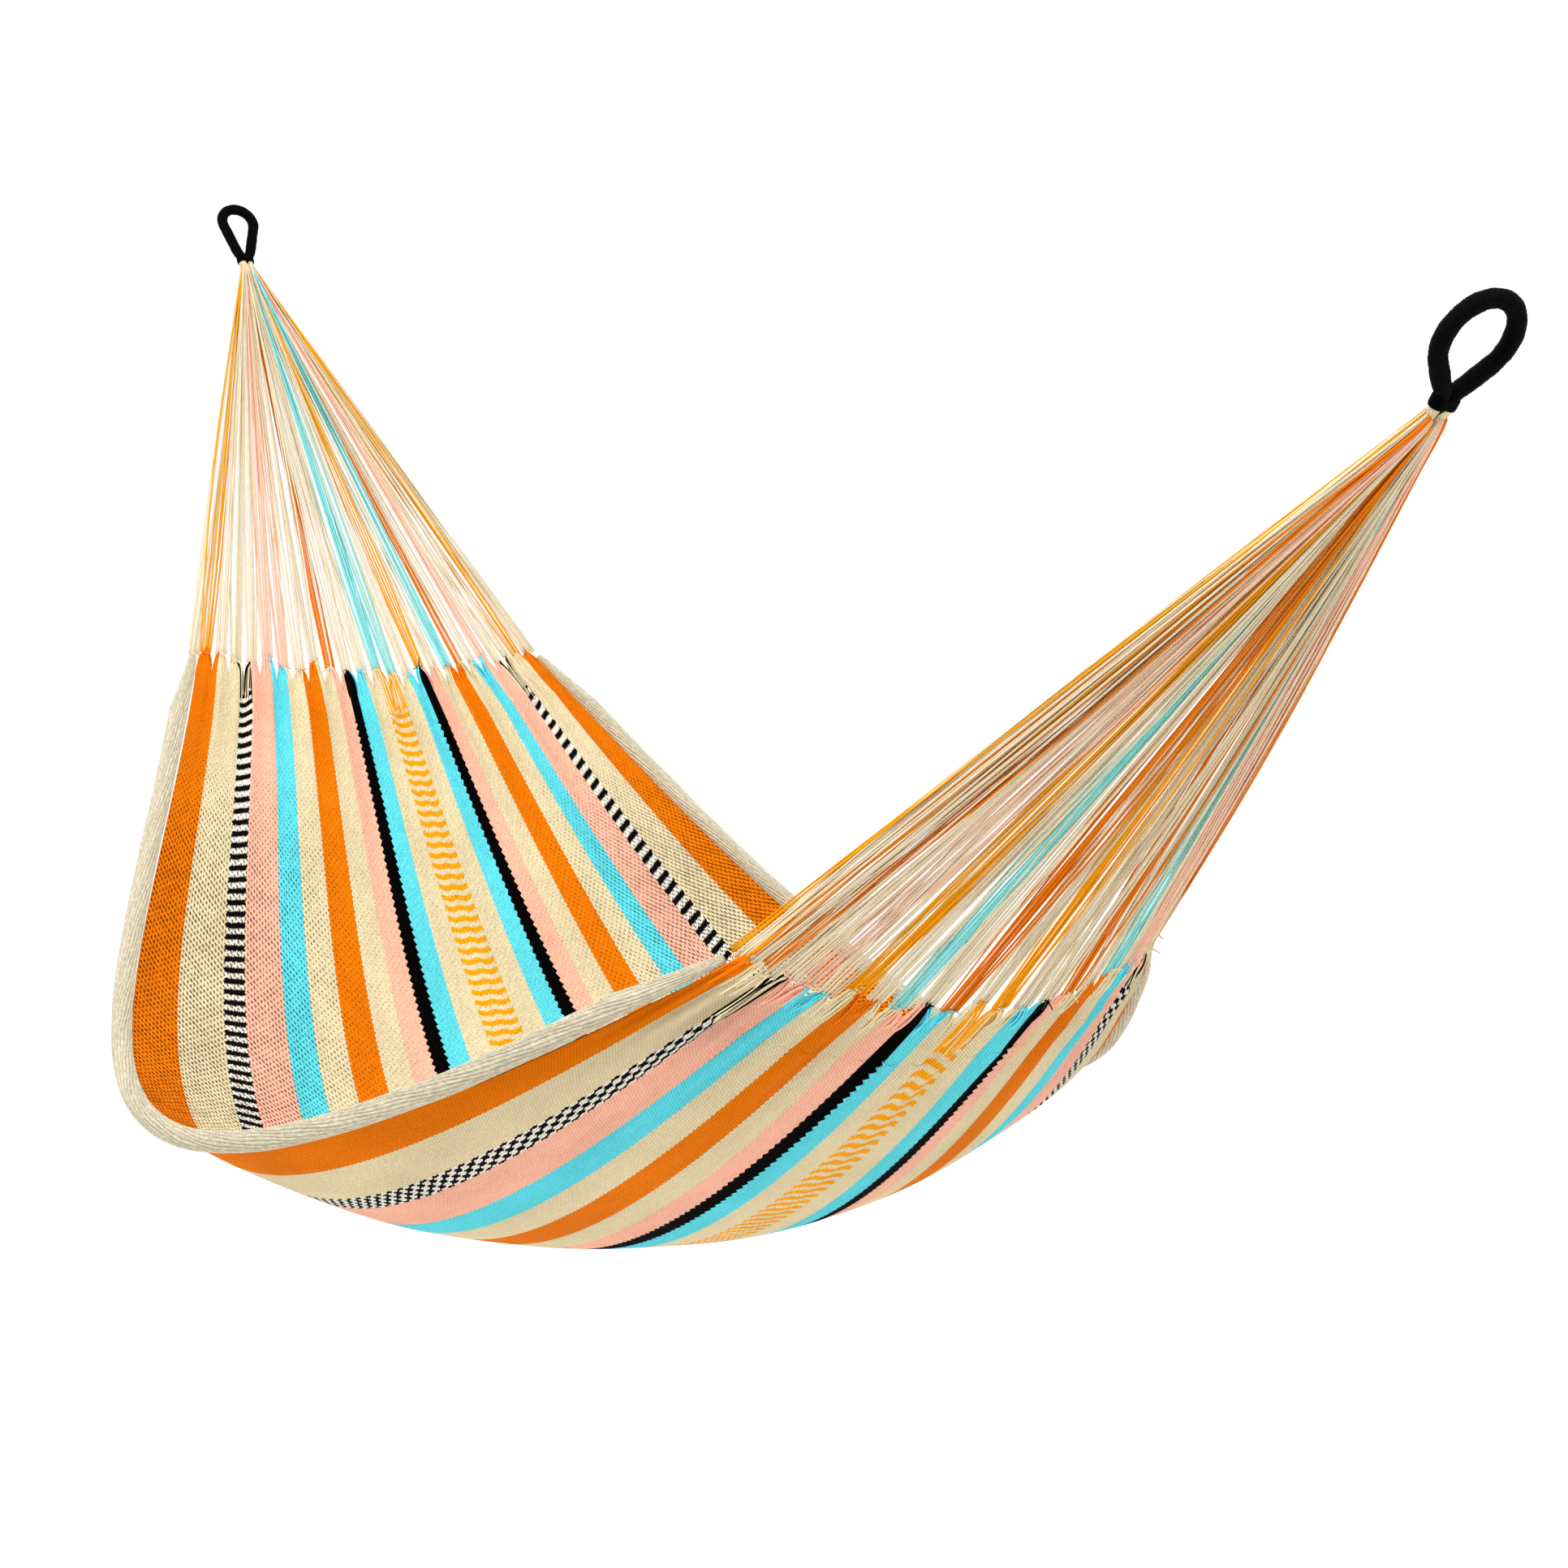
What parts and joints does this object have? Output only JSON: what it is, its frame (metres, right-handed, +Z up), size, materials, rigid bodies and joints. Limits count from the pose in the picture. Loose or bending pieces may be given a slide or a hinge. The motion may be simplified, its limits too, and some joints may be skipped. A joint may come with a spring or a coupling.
{
  "type": "rope hammock",
  "caption": "Handwoven striped hammock bed hung from wrapped rope eyes by fans of end strings, for lying in between two hooks.",
  "frame": {"origin": "where the hook bears inside the top of the head eye", "axes": "+X level from the head eye towards the foot eye, +Y towards the bed's far long edge, +Z up"},
  "size_m": [2.8025, 1.2062, 1.2173],
  "materials": {
    "cream_yarn": "matt",
    "yellow_yarn": "matt",
    "orange_yarn": "matt",
    "pink_yarn": "matt",
    "turquoise_yarn": "matt",
    "black_yarn": "matt",
    "barred_yarn": "matt",
    "black_twine": "satin"
  },
  "bodies": {
    "head_eye": {"head_eye_core": "cream_yarn", "head_eye_wrapping": "black_twine", "head_throat_lashing": "black_twine"},
    "bed": {"head_strings_cream": "cream_yarn", "head_strings_yellow": "yellow_yarn", "head_strings_orange": "orange_yarn", "head_strings_pink": "pink_yarn", "head_strings_turquoise": "turquoise_yarn", "head_knots": "cream_yarn", "head_warp_loops": "cream_yarn", "centre_yellow_stripe": "yellow_yarn", "centre_cream_stripes": "cream_yarn", "inner_turquoise_stripes": "turquoise_yarn", "black_stripes": "black_yarn", "inner_pink_stripes": "pink_yarn", "inner_cream_stripes": "cream_yarn", "inner_orange_stripes": "orange_yarn", "middle_cream_stripes": "cream_yarn", "outer_turquoise_stripes": "turquoise_yarn", "outer_pink_stripes": "pink_yarn", "barred_stripes": "barred_yarn", "outer_cream_stripes": "cream_yarn", "outer_orange_stripes": "orange_yarn", "near_edge_roll": "cream_yarn", "far_edge_roll": "cream_yarn", "foot_warp_loops": "cream_yarn", "foot_knots": "cream_yarn", "foot_strings_cream": "cream_yarn", "foot_strings_yellow": "yellow_yarn", "foot_strings_orange": "orange_yarn", "foot_strings_pink": "pink_yarn", "foot_strings_turquoise": "turquoise_yarn"},
    "foot_eye": {"foot_eye_core": "cream_yarn", "foot_eye_wrapping": "black_twine", "foot_throat_lashing": "black_twine"}
  },
  "joints": [
    {"name": "head_swing", "type": "hinge", "parent": "head_eye", "child": "bed", "pos_m": [0.05584, 0, -0.07686], "axis": [1, 0, 0], "range_deg": [-35, 35]},
    {"name": "foot_swing", "type": "hinge", "parent": "bed", "child": "foot_eye", "pos_m": [2.73284, 0, -0.07686], "axis": [1, 0, 0], "range_deg": [-35, 35]}
  ],
  "couplings": [
    {"joint": "foot_swing", "follows": "head_swing", "ratio": -1}
  ]
}
